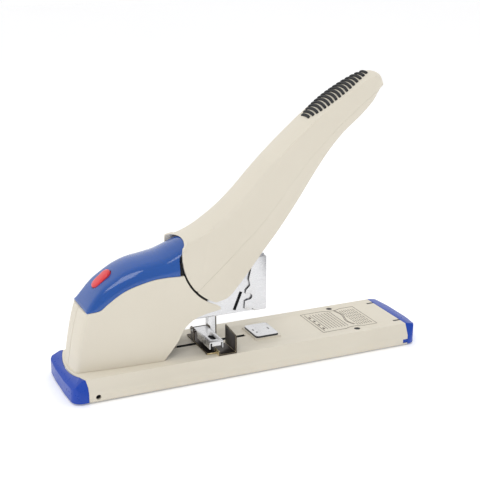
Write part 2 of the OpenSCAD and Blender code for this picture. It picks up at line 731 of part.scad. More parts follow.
driver_ear = link_half + 0.6;
blade_top = driver_pin[1] + 2.6;
link_room = 5.8;              // room for the link's eye below the driver's pin
module driver_blade() {
    half = staple_crown / 2 - 0.2;
    color(steel) difference() {
        translate([blade_x, -half, crown_z + 0.6]) cube([blade_t, 2 * half, blade_top - crown_z - 0.6]);
        translate([blade_x - 1, -driver_ear, driver_pin[1] - link_room]) cube([blade_t + 2, 2 * driver_ear, 20]);
    }
}

// two ears round the link's eye, joined behind the blade and hooked over its wings
module driver_carrier() {
    p = driver_pin;
    bar_h = 3.8;
    ear_t = 1.6;
    color(dark_steel) difference() {
        union() {
            translate([blade_x - 5, -driver_ear - ear_t, p[1] - link_room - bar_h])
                cube([5, 2 * (driver_ear + ear_t), bar_h]);
            both_sides() translate([blade_x - 5, driver_ear, p[1] - link_room - bar_h])
                cube([5.2, ear_t, link_room + bar_h + 5.6]);
            both_sides() translate([blade_x - 1, driver_ear, p[1] - 4.8]) cube([6, ear_t, 10.4]);
            pin_y(p, driver_pin_r, -driver_ear - 0.1, driver_ear + 0.1);
        }
        both_sides() translate([blade_x, driver_ear, 0]) cube([blade_t, 9, blade_top]);
    }
}

// ---------- head ----------

module head_outline() {
    x = hub_x;
    z = mag_z;
    difference() {
        polygon([[x - 100, z + 3], [x - 92, z], [nose_x - nose_t - 0.4, z], [nose_x - nose_t - 0.4, z + 46],
            [x + 14, z + 46], [x - 4, z + 36], [x - 20, z + 27.4], [x - 68, z + 27.4], [x - 76, z + 30],
            [x - 92, z + 30], [x - 100, z + 20]]);
        translate(head_pivot) circle(r = 2.5 + run_gap);
        translate(latch_pivot) circle(r = 1.5);
        for (p = spacer_at) translate(p) circle(r = 1.2);
        translate([x + 4, z + 2.5]) rotate(-22) translate([-1.3, 0]) square([2.6, 15.5]);
    }
}

module head_plate_left() {
    color(steel) plate_xz(head_in, head_t) head_outline();
}

module head_plate_right() {
    color(steel) plate_xz(-head_out, head_t) head_outline();
}

module head_spacers() {
    color(steel) for (p = spacer_at) {
        pin_y(p, 1.5, -head_in, head_in);
        pin_y(p, 1.2, -head_out, head_out);
    }
}

module latch_pin() {
    color(steel) pin_y(latch_pivot, 1.5, -head_out, head_out);
}

// ---------- magazine ----------

module magazine_rail() {
    z1 = crown_z + 0.6;
    rail_half = staple_crown / 2 - staple_wire - 0.3;
    rail_top = crown_z - staple_wire - 0.1;
    rail_rear = rail_front - rail_len;
    color(steel) difference() {
        union() {
            translate([rail_rear, -mag_out, mag_z]) cube([rail_len, 2 * mag_out, mag_wall]);
            both_sides() translate([hub_x - 82, mag_in, mag_z]) cube([82 + 29.6, mag_wall, z1 - mag_z]);
            translate([rail_rear, -rail_half, floor_z - 0.1]) cube([rail_len, 2 * rail_half, rail_top - floor_z + 0.1]);
            pin_y(catch_bar, catch_bar_r, -mag_in - 0.1, mag_in + 0.1);
        }
        translate([rail_rear - 1, -rail_half + 1, floor_z]) cube([rail_len - 1, 2 * rail_half - 2, rail_top - floor_z - 1]);
        translate([rail_rear - 1, -1.2, rail_top - 2]) cube([rail_len - 6, 2.4, 4]);
    }
}

nose_top = 44;
module magazine_nose() {
    x = hub_x;
    z = mag_z;
    cheek = concat(
        [[nose_x, z], [x + 20.6, z], [x + 19.4, z + 1.9], [x + 14.6, z + 1.4], [x + 12.2, z + 2.6],
            [x + 12.6, z + 9]],
        arc_pts([x + 16.4, z + 12.2], 2.4, 250, 450, 8),
        [[x + 13, z + 15], [x + 13.6, z + 18], [x + 17, z + 21.4], [x + 16, z + 27], [x + 20, z + nose_top],
            [nose_x, z + nose_top]]);
    color(steel) difference() {
        union() {
            both_sides() plate_xz(nose_in, nose_t) polygon(cheek);
            translate([nose_x - nose_t, -nose_out, z]) cube([nose_t, 2 * nose_out, nose_top]);
            both_sides() translate([nose_x - nose_t - 0.4, mag_in, z]) cube([0.5, nose_in - mag_in + 0.2, 20]);
        }
        translate([nose_x - 3, -5, z + 25.6]) cube([6, 10, nose_top]);
    }
}

module staple_strip() {
    h = staple_crown / 2;
    z0 = floor_z + 0.1;
    color(steel) difference() {
        translate([rail_front - strip_len, -h, z0]) cube([strip_len, 2 * h, crown_z - z0]);
        translate([rail_front - strip_len - 1, -h + staple_wire, z0 - 1])
            cube([strip_len + 2, 2 * (h - staple_wire), crown_z - staple_wire - z0 + 1]);
    }
}

pusher_len = 10;
pusher_x = rail_front - strip_len - 0.2 - pusher_len;
module staple_pusher() {
    h = staple_crown / 2;
    z0 = floor_z + 0.3;
    color(dark_steel) {
        difference() {
            translate([pusher_x, -h, z0]) cube([pusher_len, 2 * h, crown_z - z0]);
            translate([pusher_x - 1, -h + staple_wire, z0 - 1])
                cube([pusher_len + 2, 2 * (h - staple_wire), crown_z - staple_wire - z0 + 1]);
        }
        translate([pusher_x, -0.9, crown_z - staple_wire - 6]) cube([pusher_len, 1.8, 6.1]);
        translate([pusher_x, -3.4, crown_z - staple_wire - 10]) cube([pusher_len, 6.8, 5]);
    }
}

spring_r = 2.6;
module pusher_spring() {
    x0 = rail_front - rail_len + 1.2;
    len_x = pusher_x - 0.8 - x0;
    turns = 9;
    z = crown_z - staple_wire - 8;
    color(dark_steel) wire([for (i = [0:turns * 10]) let (a = 360 * i / 10)
        [x0 + len_x * i / (turns * 10), spring_r * cos(a), z + spring_r * sin(a)]], 0.5, 6);
}

// ---------- release button and latch ----------

module release_button() {
    color(red) {
        button_prism(-0.1, -3, 2.2);
        translate([button_at[0], 0, button_at[1]]) rotate([0, -button_tilt, 0])
            translate([0, 0, -9.7]) cylinder(r = stem_r, h = 7.7);
    }
}

module button_spring() {
    turns = 4;
    r = stem_r + 1.1;
    h = bridge_drop - 3.6;
    color(steel) translate([button_at[0], 0, button_at[1]]) rotate([0, -button_tilt, 0])
        wire([for (i = [0:turns * 12]) let (a = 360 * i / 12)
            [r * cos(a), r * sin(a), -bridge_drop + 0.45 + (h - 0.4) * i / (turns * 12)]], 0.35, 6);
}

latch_half = 1.5;
module magazine_latch() {
    p = latch_pivot;
    c = catch_bar;
    tip_z = c[1] + catch_bar_r + 0.35;
    color(dark_steel) block_xz(latch_half) difference() {
        union() {
            translate(p) circle(r = 3.4);
            polygon([p + [0, 3.3], p + [-7, 6], p + [-8.2, 3.8], p + [-2, -2.6]]);
            polygon([p + [0, -3.1], [c[0] + 1.4, tip_z + 3], [c[0] + 2, tip_z], [c[0] + 5, tip_z],
                [c[0] + 5, p[1] + 1.6], p + [0, 3.1]]);
        }
        translate(p) circle(r = 1.5 + run_gap);
    }
}

// ---------- paper guide ----------

guide_x = hub_x - 3;          // paper side of the stop
guide_t = 1;
guide_gap = 0.3;
guide_len = 15;
guide_in = 10;
lever_z = base_top + 9;
lever_pin_at = [6, lever_z];  // across and up
lever_x0 = guide_x - 21;
lever_x1 = guide_x - 9.6;
module guide_bracket() {
    z = base_top + guide_gap;
    color(dark_steel) {
        both_sides() {
            translate([guide_x - guide_t, 0, z]) rotate([90, 0, 90]) linear_extrude(guide_t)
                polygon([[-guide_reach, 0], [-guide_in, 0], [-guide_in, 16.3], [-guide_reach, 14.2]]);
            translate([guide_x - guide_len, -guide_reach, z]) cube([guide_len, guide_reach - guide_in, guide_t]);
        }
        translate([guide_x - guide_len, -guide_reach, z]) cube([guide_t, 9, 3.6]);
        translate([lever_x0 - 1.4, -guide_reach + 6, z]) cube([lever_x1 - lever_x0 + 2.8, guide_reach + 12, guide_t]);
        for (x = [lever_x0 - 1.4, lever_x1 + 0.4]) difference() {
            translate([x, 3, z]) cube([guide_t, 6.5, lever_z + 2.6 - z]);
            translate([x - 1, lever_pin_at[0], lever_pin_at[1]]) rotate([0, 90, 0]) cylinder(r = 1, h = 4);
        }
    }
}

key_x = guide_x - 14;
key_len = 7;
module guide_key() {
    w = slot_w / 2 - 0.2;
    color(dark_steel) {
        translate([key_x, -w, base_top - base_wall - 0.3]) cube([key_len, 2 * w, base_wall + 0.3 + guide_gap]);
        translate([key_x, -4.4, base_top - base_wall - 1.5]) cube([key_len, 8.8, 1.2]);
    }
}

// rocking plate that locks the guide, with a thumb hole
module guide_lever() {
    near = -27;
    mid_x = (lever_x0 + lever_x1) / 2;
    color(steel) difference() {
        union() {
            translate([lever_x0, near, lever_z + 1]) cube([lever_x1 - lever_x0, 6 - near, 1]);
            translate([lever_x0, lever_pin_at[0], lever_pin_at[1]]) rotate([0, 90, 0])
                cylinder(r = 2, h = lever_x1 - lever_x0);
            translate([lever_x0 + 2, near, lever_z - 1.6]) cube([lever_x1 - lever_x0 - 4, 1, 3.1]);
        }
        translate([lever_x0 - 1, lever_pin_at[0], lever_pin_at[1]]) rotate([0, 90, 0])
            cylinder(r = 1 + run_gap, h = lever_x1 - lever_x0 + 2);
        for (y = [-20, -15]) pin_z([mid_x, y], 2.3, lever_z, lever_z + 4);
        translate([mid_x - 2.3, -20, lever_z]) cube([4.6, 5, 4]);
    }
}

module lever_pin() {
    color(steel) translate([lever_x0 - 1.6, lever_pin_at[0], lever_pin_at[1]]) rotate([0, 90, 0])
        cylinder(r = 1, h = lever_x1 - lever_x0 + 3.2);
}

base_shell();
base_plate();
bottom_cover();
rear_cap();
front_cap();
rubber_feet();
anvil();
anvil_rivets();
body_shell_right();
body_shell_left();
body_screws();
top_cover();
frame_plate_right();
frame_plate_left();
frame_bolts();
frame_nuts();
frame_tie();
button_bridge();
hub_axle();
axle_circlips();
return_spring();
head_pivot_pin();
handle_upper_shell();
handle_lower_shell();
handle_grip();
handle_core_right();
handle_core_left();
handle_tie_bolts();
crank_pin();
drive_link();
head_plate_right();
head_plate_left();
head_spacers();
latch_pin();
driver_blade();
driver_carrier();
magazine_rail();
magazine_nose();
staple_strip();
staple_pusher();
pusher_spring();
release_button();
button_spring();
magazine_latch();
guide_bracket();
guide_key();
guide_lever();
lever_pin();
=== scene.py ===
import json
import math

import bmesh
import bpy
from mathutils import Matrix, Vector


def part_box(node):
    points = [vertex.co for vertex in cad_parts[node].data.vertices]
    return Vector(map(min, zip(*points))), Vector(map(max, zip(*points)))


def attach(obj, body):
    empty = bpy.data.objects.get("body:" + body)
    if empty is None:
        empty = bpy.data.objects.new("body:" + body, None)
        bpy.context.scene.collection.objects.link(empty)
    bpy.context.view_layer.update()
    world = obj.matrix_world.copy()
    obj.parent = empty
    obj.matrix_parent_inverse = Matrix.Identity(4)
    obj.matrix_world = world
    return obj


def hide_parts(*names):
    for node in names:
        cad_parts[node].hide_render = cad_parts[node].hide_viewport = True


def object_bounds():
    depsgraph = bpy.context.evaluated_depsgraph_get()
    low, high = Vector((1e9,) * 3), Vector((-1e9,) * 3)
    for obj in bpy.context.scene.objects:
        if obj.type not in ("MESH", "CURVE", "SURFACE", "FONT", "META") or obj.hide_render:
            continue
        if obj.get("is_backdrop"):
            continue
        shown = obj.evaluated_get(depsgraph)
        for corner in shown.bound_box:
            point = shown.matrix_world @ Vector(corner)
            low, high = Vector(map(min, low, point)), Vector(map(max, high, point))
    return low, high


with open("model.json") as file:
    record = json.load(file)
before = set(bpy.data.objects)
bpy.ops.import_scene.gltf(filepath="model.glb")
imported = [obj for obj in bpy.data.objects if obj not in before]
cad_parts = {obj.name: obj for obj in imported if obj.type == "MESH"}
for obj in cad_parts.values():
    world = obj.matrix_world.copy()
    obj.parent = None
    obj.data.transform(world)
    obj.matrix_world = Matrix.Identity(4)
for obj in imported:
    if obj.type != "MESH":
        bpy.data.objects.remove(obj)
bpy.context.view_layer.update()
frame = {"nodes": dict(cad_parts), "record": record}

mm = 0.001
scene = bpy.context.scene
nodeSlot = {part["node"]: part["material_slot"] for part in frame["record"]["subparts"]}
nodeBody = {node: body for body, nodes in frame["record"]["behaviour"]["bodies"].items() for node in nodes}


def boxOf(node):
    low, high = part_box(node)
    return low / mm, high / mm


def centreOf(node):
    low, high = boxOf(node)
    return (low + high) / 2


hub = centreOf("hub_axle")
baseTop = boxOf("frame_plate_right")[0].z
button = {"place": Vector((hub.x - 99.3, 0, hub.z - 15.2)), "tilt": 40.4, "long": 18, "wide": 11}


# ---- small helpers for curves ----

def mix(a, b, t):
    return a + (b - a) * t


def clamp(value, low=0.0, high=1.0):
    return min(max(value, low), high)


def splineAt(points, t):
    last = len(points) - 1
    s = clamp(t) * last
    i = min(int(s), last - 1)
    u = s - i
    a, b, c, d = (Vector(points[k]) for k in (max(i - 1, 0), i, i + 1, min(i + 2, last)))
    cubic = (3 * b - 3 * c + d - a) * u ** 3
    return 0.5 * (2 * b + (c - a) * u + (2 * a - 5 * b + 4 * c - d) * u * u + cubic)


# smooth height over x through [x, height] points, flat past its ends
def smoothAt(points, x):
    last = len(points) - 1
    x = clamp(x, points[0][0], points[last][0])
    i = 0
    while i < last - 1 and x > points[i + 1][0]:
        i += 1
    (x0, h0), (x1, h1) = points[i], points[i + 1]

    def slope(k):
        a, b = points[max(k - 1, 0)], points[min(k + 1, last)]
        return (b[1] - a[1]) / (b[0] - a[0])

    w = x1 - x0
    u = (x - x0) / w
    return ((2 * u ** 3 - 3 * u * u + 1) * h0 + (u ** 3 - 2 * u * u + u) * w * slope(i)
            + (3 * u * u - 2 * u ** 3) * h1 + (u ** 3 - u * u) * w * slope(i + 1))


def swapped(points):
    return [(p[1], p[0]) for p in points]


# ---- materials ----

def colour(text):
    parts = [int(text[i:i + 2], 16) / 255 for i in (1, 3, 5)]
    return (*[c / 12.92 if c <= 0.04045 else ((c + 0.055) / 1.055) ** 2.4 for c in parts], 1)


def addNode(tree, kind, inputs=None, **settings):
    node = tree.nodes.new(kind)
    for key, value in settings.items():
        setattr(node, key, value)
    for key, value in (inputs or {}).items():
        if isinstance(value, bpy.types.NodeSocket):
            tree.links.new(value, node.inputs[key])
        else:
            node.inputs[key].default_value = value
    return node


# look: tone and shade of the colour, cloud and grain sizes in mm, grain depth in mm, rough from and to
def surface(name, look):
    material = bpy.data.materials.new(name)
    material.use_nodes = True
    tree = material.node_tree
    tree.nodes.clear()
    place = addNode(tree, "ShaderNodeTexCoord").outputs["Object"]
    stretch = addNode(tree, "ShaderNodeMapping", {"Vector": place, "Scale": look.get("stretch", (1, 1, 1))})
    cloud = addNode(tree, "ShaderNodeTexNoise",
                    {"Vector": place, "Scale": 1 / (look["cloud"] * mm), "Detail": 3.0}).outputs["Fac"]
    grain = addNode(tree, "ShaderNodeTexNoise",
                    {"Vector": stretch.outputs["Vector"], "Scale": 1 / (look["grain"] * mm),
                     "Detail": 2.0}).outputs["Fac"]
    blend = addNode(tree, "ShaderNodeMix", {"Factor": cloud, 6: colour(look["shade"]), 7: colour(look["tone"])},
                    data_type="RGBA").outputs[2]
    rough = addNode(tree, "ShaderNodeMapRange",
                    {"Value": grain, "From Min": 0.3, "From Max": 0.7, "To Min": look["rough"][0],
                     "To Max": look["rough"][1]}).outputs["Result"]
    bump = addNode(tree, "ShaderNodeBump", {"Height": grain, "Strength": look.get("relief", 0.5),
                                            "Distance": look["depth"] * mm}).outputs["Normal"]
    shader = addNode(tree, "ShaderNodeBsdfPrincipled", {"Base Color": blend, "Roughness": rough, "Normal": bump})
    for socket, value in look.get("shader", {}).items():
        shader.inputs[socket].default_value = value
    addNode(tree, "ShaderNodeOutputMaterial", {"Surface": shader.outputs[0]})
    return material


finishes = {
    # fine matt grain of the moulded ABS, so that the light spreads softly over the big cream faces
    "cream_plastic": surface("mattCreamAbs", {
        "tone": "#E2DBCB", "shade": "#D8D0BF", "cloud": 60, "grain": 0.5, "depth": 0.02, "rough": (0.42, 0.55)}),
    # deep blue gloss moulding with a faint orange peel
    "blue_plastic": surface("glossBlueAbs", {
        "tone": "#2A4FB4", "shade": "#2143A4", "cloud": 25, "grain": 2.5, "depth": 0.03, "rough": (0.26, 0.38),
        "shader": {"Specular IOR Level": 0.22}}),
    # tinted see-through cover: lets the steel behind it show as soft dark shapes
    "clear_blue_plastic": surface("clearBluePolycarbonate", {
        "tone": "#3573CE", "shade": "#2A61BC", "cloud": 40, "grain": 4, "depth": 0.02, "rough": (0.06, 0.14),
        "shader": {"Transmission Weight": 0.42, "IOR": 1.5}}),
    # clear red key that glows a little at its edges
    "red_plastic": surface("glossRedAcrylic", {
        "tone": "#F0444A", "shade": "#E2343B", "cloud": 8, "grain": 2, "depth": 0.01, "rough": (0.12, 0.2),
        "shader": {"Transmission Weight": 0.1}}),
    # dry rubber that swallows the light
    "black_rubber": surface("mattBlackRubber", {
        "tone": "#26272A", "shade": "#1B1C1E", "cloud": 6, "grain": 0.4, "depth": 0.03, "rough": (0.65, 0.85)}),
    # grained black moulding of the underside
    "black_plastic": surface("grainedBlackPlastic", {
        "tone": "#2A2B2D", "shade": "#222325", "cloud": 20, "grain": 0.6, "depth": 0.03, "rough": (0.5, 0.65)}),
    # bright nickel with a fine draw along the sheet
    "nickel_steel": surface("brightNickelPlate", {
        "tone": "#E0E0E1", "shade": "#D2D2D4", "cloud": 25, "grain": 1.5, "depth": 0.0005, "rough": (0.24, 0.32),
        "stretch": (0.15, 1, 1), "shader": {"Metallic": 1.0}}),
    # greyish zinc with soft spangle
    "zinc_steel": surface("zincPlatedSheet", {
        "tone": "#C9CCCF", "shade": "#B4B8BD", "cloud": 5, "grain": 1.2, "depth": 0.004, "rough": (0.28, 0.45),
        "shader": {"Metallic": 1.0}}),
    # oiled black oxide
    "dark_steel": surface("blackOxideSteel", {
        "tone": "#4A423D", "shade": "#39332F", "cloud": 6, "grain": 1, "depth": 0.004, "rough": (0.3, 0.45),
        "shader": {"Metallic": 0.7}}),
    # turned pins, ground rings left by the tool
    "bright_steel": surface("turnedBrightSteel", {
        "tone": "#DADCDD", "shade": "#CBCED0", "cloud": 6, "grain": 0.8, "depth": 0.004, "rough": (0.18, 0.3),
        "stretch": (1, 6, 1), "shader": {"Metallic": 1.0}}),
}
# brassy cut edges of the plating, with a painted highlight where they catch the light
paintedHighlightEdge = surface("brassyCutEdge", {
    "tone": "#F2E4BC", "shade": "#E3CE9C", "cloud": 4, "grain": 0.8, "depth": 0.004, "rough": (0.22, 0.35),
    "shader": {"Metallic": 0.8}})
# painted shade on the inner edges of the nose, the anvil's sides and the marks on the anvil's top
paintedShadeEdge = surface("darkCutEdge", {
    "tone": "#3A3A3C", "shade": "#2C2C2E", "cloud": 4, "grain": 0.8, "depth": 0.002, "rough": (0.4, 0.5)})
# pad-printed grey-brown ink, flat and slightly worn
chartInk = surface("printedChartInk", {
    "tone": "#736A5E", "shade": "#63594F", "cloud": 3, "grain": 0.5, "depth": 0.004, "rough": (0.5, 0.65)})
for node, piece in frame["nodes"].items():
    piece.data.materials.clear()
    piece.data.materials.append(finishes[nodeSlot[node]])
print("finishes ready:", len(finishes))


# ---- making pieces ----

def camel(node):
    first, *rest = node.split("_")
    return first + "".join(word.capitalize() for word in rest)


def newPiece(name, mesh, material=None):
    piece = bpy.data.objects.new(name, mesh)
    scene.collection.objects.link(piece)
    if material:
        mesh.materials.clear()
        mesh.materials.append(material)
    return piece


def fromPoints(name, points, faces, material, edges=()):
    mesh = bpy.data.meshes.new(name)
    mesh.from_pydata([[c * mm for c in p] for p in points], edges, faces)
    if faces:
        shape = bmesh.new()
        shape.from_mesh(mesh)
        bmesh.ops.remove_doubles(shape, verts=shape.verts, dist=0.0005 * mm)
        bmesh.ops.delete(shape, geom=[v for v in shape.verts if not v.link_faces], context="VERTS")
        bmesh.ops.recalc_face_normals(shape, faces=shape.faces)
        shape.to_mesh(mesh)
        shape.free()
        mesh.shade_smooth()
    return newPiece(name, mesh, material)


def soften(piece, width, angle=38, segments=2, edgeMaterial=-1):
    bevel = piece.modifiers.new("softEdges", "BEVEL")
    bevel.width = width * mm
    bevel.segments = segments
    bevel.limit_method = "ANGLE"
    bevel.angle_limit = math.radians(angle)
    bevel.harden_normals = True
    bevel.material = edgeMaterial
    return piece


# the piece as it looks with its modifiers becomes a plain mesh
def settle(piece):
    made = piece.evaluated_get(bpy.context.evaluated_depsgraph_get())
    mesh = bpy.data.meshes.new_from_object(made)
    piece.modifiers.clear()
    piece.data = mesh
    return piece


def cut(piece, *cutters):
    for cutter in cutters:
        hole = piece.modifiers.new("hole", "BOOLEAN")
        hole.object = cutter
        hole.operation = "DIFFERENCE"
        hole.solver = "EXACT"
    settle(piece)
    for cutter in cutters:
        bpy.data.objects.remove(cutter)
    return piece


def standFor(piece, *nodes):
    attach(piece, nodeBody[nodes[0]])
    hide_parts(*nodes)
    return piece


# a CAD piece with its facets merged, and its upright corners rounded if asked
def cleaned(node, corner=0, cornerAxis=2):
    shape = bmesh.new()
    shape.from_mesh(frame["nodes"][node].data)
    bmesh.ops.remove_doubles(shape, verts=shape.verts, dist=0.002 * mm)
    bmesh.ops.dissolve_limit(shape, angle_limit=math.radians(0.6), verts=shape.verts, edges=shape.edges)
    if corner:
        low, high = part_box(node)
        across = [a for a in range(3) if a != cornerAxis]

        def atCorner(v):
            return all(min(abs(v.co[a] - low[a]), abs(v.co[a] - high[a])) < 0.05 * mm for a in across)

        upright = [e for e in shape.edges if all(atCorner(v) for v in e.verts)
                   and abs(e.verts[0].co[cornerAxis] - e.verts[1].co[cornerAxis]) > 0.2 * mm]
        bmesh.ops.bevel(shape, geom=upright, offset=corner * mm, segments=5, profile=0.5, affect="EDGES")
    mesh = bpy.data.meshes.new(camel(node))
    shape.to_mesh(mesh)
    shape.free()
    mesh.shade_smooth()
    return newPiece(camel(node), mesh, finishes[nodeSlot[node]])


# wall between two grids of points; rows below openRows leave out the columns of openCols
def shellLoft(name, outer, inner, material, openRows=0, openCols=(0, -1)):
    rows, cols = len(outer), len(outer[0])
    inside = rows * cols
    faces = []

    def at(i, j):
        return i * cols + j

    def kept(i, j):
        within = 0 <= i < rows - 1 and 0 <= j < cols - 1
        return within and (i >= openRows or j < openCols[0] or j >= openCols[1])

    for i in range(rows - 1):
        for j in range(cols - 1):
            if not kept(i, j):
                continue
            p, q, s, t = at(i, j), at(i, j + 1), at(i + 1, j + 1), at(i + 1, j)
            faces += [(p, q, s, t), (inside + p, inside + t, inside + s, inside + q)]
            sides = (((i - 1, j), p, q), ((i, j + 1), q, s), ((i + 1, j), s, t), ((i, j - 1), t, p))
            faces += [(b, a, inside + a, inside + b) for near, a, b in sides if not kept(*near)]
    points = [p for row in outer for p in row] + [p for row in inner for p in row]
    return fromPoints(name, points, faces, material)


# closed rings of points stacked into a solid with flat ends
def ringStack(name, rings, material):
    n = len(rings[0])
    points = [p for ring in rings for p in ring]
    faces = [(r * n + k, r * n + (k + 1) % n, (r + 1) * n + (k + 1) % n, (r + 1) * n + k)
             for r in range(len(rings) - 1) for k in range(n)]
    faces += [tuple(range(n))[::-1], tuple(range((len(rings) - 1) * n, len(rings) * n))]
    return fromPoints(name, points, faces, material)


def cylinder(name, start, end, radius, material=None, sides=40):
    along = (Vector(end) - Vector(start)).normalized()
    across = along.orthogonal().normalized()
    up = along.cross(across)
    turns = [2 * math.pi * k / sides for k in range(sides)]
    rings = [[Vector(p) + radius * (math.cos(a) * across + math.sin(a) * up) for a in turns] for p in (start, end)]
    return ringStack(name, rings, material)


def boxPiece(name, low, high, material=None):
    points = [(x, y, z) for x in (low[0], high[0]) for y in (low[1], high[1]) for z in (low[2], high[2])]
    faces = [(0, 1, 3, 2), (4, 6, 7, 5), (0, 4, 5, 1), (2, 3, 7, 6), (0, 2, 6, 4), (1, 5, 7, 3)]
    return fromPoints(name, points, faces, material)


# ---- geometry trees for what repeats or follows a path ----

def newTree(name, inputs):
    tree = bpy.data.node_groups.new(name, "GeometryNodeTree")
    tree.interface.new_socket("Geometry", in_out="INPUT", socket_type="NodeSocketGeometry")
    for label, kind in inputs:
        tree.interface.new_socket(label, in_out="INPUT", socket_type="NodeSocket" + kind)
    tree.interface.new_socket("Geometry", in_out="OUTPUT", socket_type="NodeSocketGeometry")
    return tree, addNode(tree, "NodeGroupInput").outputs


def closeTree(tree, geometry, material):
    real = addNode(tree, "GeometryNodeRealizeInstances", {"Geometry": geometry}).outputs[0]
    done = addNode(tree, "GeometryNodeSetMaterial", {"Geometry": real, "Material": material}).outputs[0]
    addNode(tree, "NodeGroupOutput", {"Geometry": done})


def runTree(piece, tree, values):
    modifier = piece.modifiers.new(tree.name, "NODES")
    modifier.node_group = tree
    ids = {item.name: item.identifier for item in tree.interface.items_tree if item.in_out == "INPUT"}
    for label, value in values.items():
        modifier[ids[label]] = value
    settle(piece)
    piece.data.shade_smooth()
    return piece


# a row of copies of the piece, one step apart
rowTree, given = newTree("copiesInARow", [("Count", "Int"), ("Step", "Vector"), ("Material", "Material")])
line = addNode(rowTree, "GeometryNodeMeshLine", {"Count": given["Count"], "Offset": given["Step"]}, mode="OFFSET")
copies = addNode(rowTree, "GeometryNodeInstanceOnPoints", {"Points": line.outputs[0], "Instance": given["Geometry"]})
closeTree(rowTree, copies.outputs[0], given["Material"])

# a round wire along the piece's edges
wireTree, given = newTree("roundWire", [("Radius", "Float"), ("Sides", "Int"), ("Material", "Material")])
path = addNode(wireTree, "GeometryNodeMeshToCurve", {"Mesh": given["Geometry"]}).outputs[0]
profile = addNode(wireTree, "GeometryNodeCurvePrimitiveCircle",
                  {"Resolution": given["Sides"], "Radius": given["Radius"]}).outputs[0]
wire = addNode(wireTree, "GeometryNodeCurveToMesh", {"Curve": path, "Profile Curve": profile, "Fill Caps": True})
closeTree(wireTree, wire.outputs[0], given["Material"])

# ribs across a path, longest in the middle of a leaf-shaped outline
ribTree, given = newTree("leafOfRibs", [("Count", "Int"), ("Rib length", "Float"), ("Rib height", "Float"),
                                        ("Half width", "Float"), ("Narrowing", "Float"), ("Sag", "Vector"),
                                        ("Material", "Material")])
track = addNode(ribTree, "GeometryNodeMeshToCurve", {"Mesh": given["Geometry"]}).outputs[0]
stations = addNode(ribTree, "GeometryNodeResampleCurve", {"Curve": track, "Count": given["Count"]}).outputs[0]
tangent = addNode(ribTree, "GeometryNodeInputTangent").outputs[0]
facing = addNode(ribTree, "FunctionNodeAlignEulerToVector", {"Vector": tangent}, axis="X", pivot_axis="Y").outputs[0]


def maths(tree, operation, a, b):
    return addNode(tree, "ShaderNodeMath", {0: a, 1: b}, operation=operation).outputs[0]


index = addNode(ribTree, "GeometryNodeInputIndex").outputs[0]
share = maths(ribTree, "DIVIDE", maths(ribTree, "ADD", index, 1.2), maths(ribTree, "ADD", given["Count"], 1.4))
arch = maths(ribTree, "SINE", maths(ribTree, "MULTIPLY", share, math.pi), 0.0)
leaf = maths(ribTree, "POWER", arch, 0.5)
taper = maths(ribTree, "SUBTRACT", 1.0, maths(ribTree, "MULTIPLY", share, given["Narrowing"]))
breadth = maths(ribTree, "MULTIPLY", maths(ribTree, "MULTIPLY", leaf, taper), given["Half width"])
ribSize = addNode(ribTree, "ShaderNodeCombineXYZ",
                  {"X": given["Rib length"], "Y": maths(ribTree, "MULTIPLY", breadth, 2.0),
                   "Z": given["Rib height"]}).outputs[0]
block = addNode(ribTree, "GeometryNodeMeshCube",
                {"Size": (1, 1, 1), "Vertices X": 4, "Vertices Y": 12, "Vertices Z": 4}).outputs[0]
roundBlock = addNode(ribTree, "GeometryNodeSubdivisionSurface", {"Mesh": block, "Level": 1}).outputs[0]
ribs = addNode(ribTree, "GeometryNodeInstanceOnPoints",
               {"Points": stations, "Instance": roundBlock, "Rotation": facing, "Scale": ribSize}).outputs[0]
realRibs = addNode(ribTree, "GeometryNodeRealizeInstances", {"Geometry": ribs}).outputs[0]
across = addNode(ribTree, "ShaderNodeSeparateXYZ", {0: addNode(ribTree, "GeometryNodeInputPosition").outputs[0]})
squared = maths(ribTree, "MULTIPLY", across.outputs["Y"], across.outputs["Y"])
drop = addNode(ribTree, "ShaderNodeVectorMath", {0: given["Sag"], "Scale": squared}, operation="SCALE").outputs[0]
curved = addNode(ribTree, "GeometryNodeSetPosition", {"Geometry": realRibs, "Offset": drop}).outputs[0]
closeTree(ribTree, curved, given["Material"])
print("geometry trees ready")


# ---- handle ----

handle = {
    "hubRadius": 42.3, "crown": 3.4, "wall": 2.0, "stations": 120, "openUntil": 0.6, "seamFrom": 0.12, "lowFrom": 0.2,
    "arcFrom": 171, "seamAt": 223, "arcTo": 248,
    "top": [(-34.6, 10.6), (-25, 15.2), (-14.4, 21.6), (-1.8, 30.6), (10.9, 42), (27.9, 59.1), (45, 74.8),
            (62.2, 89.1), (75.1, 99.3), (88.1, 108.5), (101.3, 116.3), (114.7, 123.2), (124, 125.9),
            (131.5, 123.3), (135.7, 116)],
    "seam": [(-8.2, -9.5), (16.7, 12.7), (34, 29), (50, 47.5), (67, 65.5), (85, 82), (103, 96.5),
             (119, 107.5), (131, 113.5)],
    "low": [(-16, -39.2), (-5.8, -36.5), (3.5, -27.5), (12.6, -17.3), (25, -3.6), (36, 8), (46, 20),
            (57, 34.4), (71, 54), (83, 69), (95, 81.2), (109, 92), (121.5, 102.8), (129.5, 110.8)],
    "creaseHalf": [(0, 16.4), (0.2, 14.6), (0.45, 14.2), (0.7, 13.6), (0.9, 10.6), (1, 5.5)],
    "seamHalf": [(0, 20.5), (0.3, 20.5), (0.45, 17.6), (0.6, 15.8), (0.8, 14.2), (0.93, 11.6), (1, 7)],
    "lowHalf": [(0, 20.5), (0.35, 20.5), (0.5, 16.8), (0.65, 14.6), (0.85, 12), (0.94, 10.2), (1, 5.5)],
}


def onHub(degrees):
    a = math.radians(degrees)
    return Vector((math.cos(a), math.sin(a))) * handle["hubRadius"]


handle["seam"].insert(0, tuple(onHub(handle["seamAt"])))


def handleTop(t):
    return splineAt(handle["top"], t)


